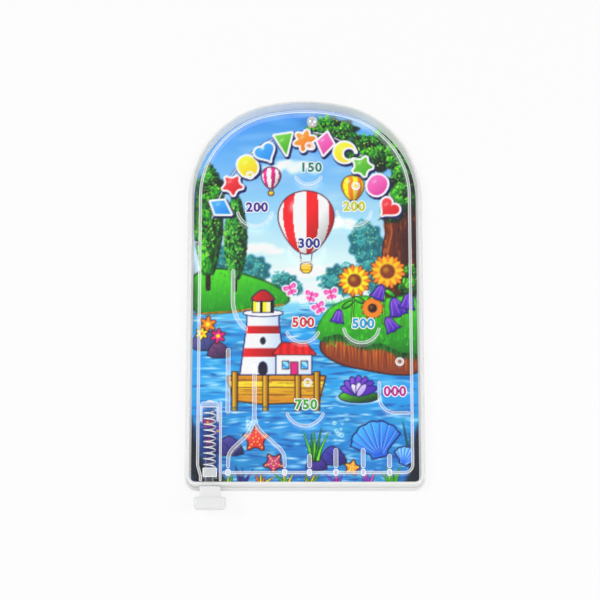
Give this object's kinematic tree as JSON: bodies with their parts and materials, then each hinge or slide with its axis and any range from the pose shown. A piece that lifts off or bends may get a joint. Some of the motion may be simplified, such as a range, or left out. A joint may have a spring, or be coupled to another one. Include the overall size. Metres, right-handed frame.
{
  "type": "handheld pinball game",
  "caption": "Flat arched handheld pinball game: clear lid over a printed card, clear catching cups, pegs and lane walls, a steel ball and a spring plunger.",
  "frame": {"origin": "Middle of the whole object's footprint, knob included, on the surface that it lies on.", "axes": "+X to the right when the playfield faces the viewer with the arch at the top, +Y from the plunger's end to the arch, +Z out through the clear window."},
  "size_m": [0.1, 0.1764, 0.0108],
  "materials": {
    "milky_plastic": "milky translucent, smooth",
    "printed_board": "glossy colour print on card",
    "clear_plastic": "clear polished plastic",
    "rib_plastic": "clear moulded plastic",
    "plunger_plastic": "frosted pale grey plastic",
    "spring_wire": "drawn wire",
    "chromed_steel": "polished"
  },
  "bodies": {
    "case": {"back_tray": "milky_plastic", "printed_card": "printed_board", "front_cover": "clear_plastic", "guide_rail": "rib_plastic", "pocket_wall": "rib_plastic", "lane_bar": "rib_plastic", "launch_guide": "rib_plastic", "centre_funnel": "rib_plastic", "slot_divider_1": "rib_plastic", "slot_divider_2": "rib_plastic", "slot_divider_3": "rib_plastic", "slot_divider_4": "rib_plastic", "cup_150": "rib_plastic", "cup_200": "rib_plastic", "cup_200_300": "rib_plastic", "cup_300": "rib_plastic", "cup_500_left": "rib_plastic", "cup_500_right": "rib_plastic", "cup_750": "rib_plastic", "side_scoop": "rib_plastic", "peg_1": "rib_plastic", "peg_2": "rib_plastic", "peg_3": "rib_plastic", "peg_4": "rib_plastic", "peg_5": "rib_plastic", "peg_6": "rib_plastic", "spring_seat": "rib_plastic", "plunger_spring": "spring_wire"},
    "plunger": {"plunger_rod": "plunger_plastic", "plunger_knob": "plunger_plastic"},
    "ball": {"steel_ball": "chromed_steel"}
  },
  "joints": [
    {"name": "plunger_pull", "type": "slide", "parent": "case", "child": "plunger", "axis": [0, -1, 0], "range_m": [0, 0.012], "stiffness_N_per_m": 110, "springref_m": -0.003, "deforming": ["plunger_spring"]},
    {"name": "ball_roll", "type": "hinge", "parent": "case", "child": "ball", "pos_m": [0, 0.0142, 0.0049], "axis": [0, 0, 1], "range_deg": [-11, 17]}
  ]
}
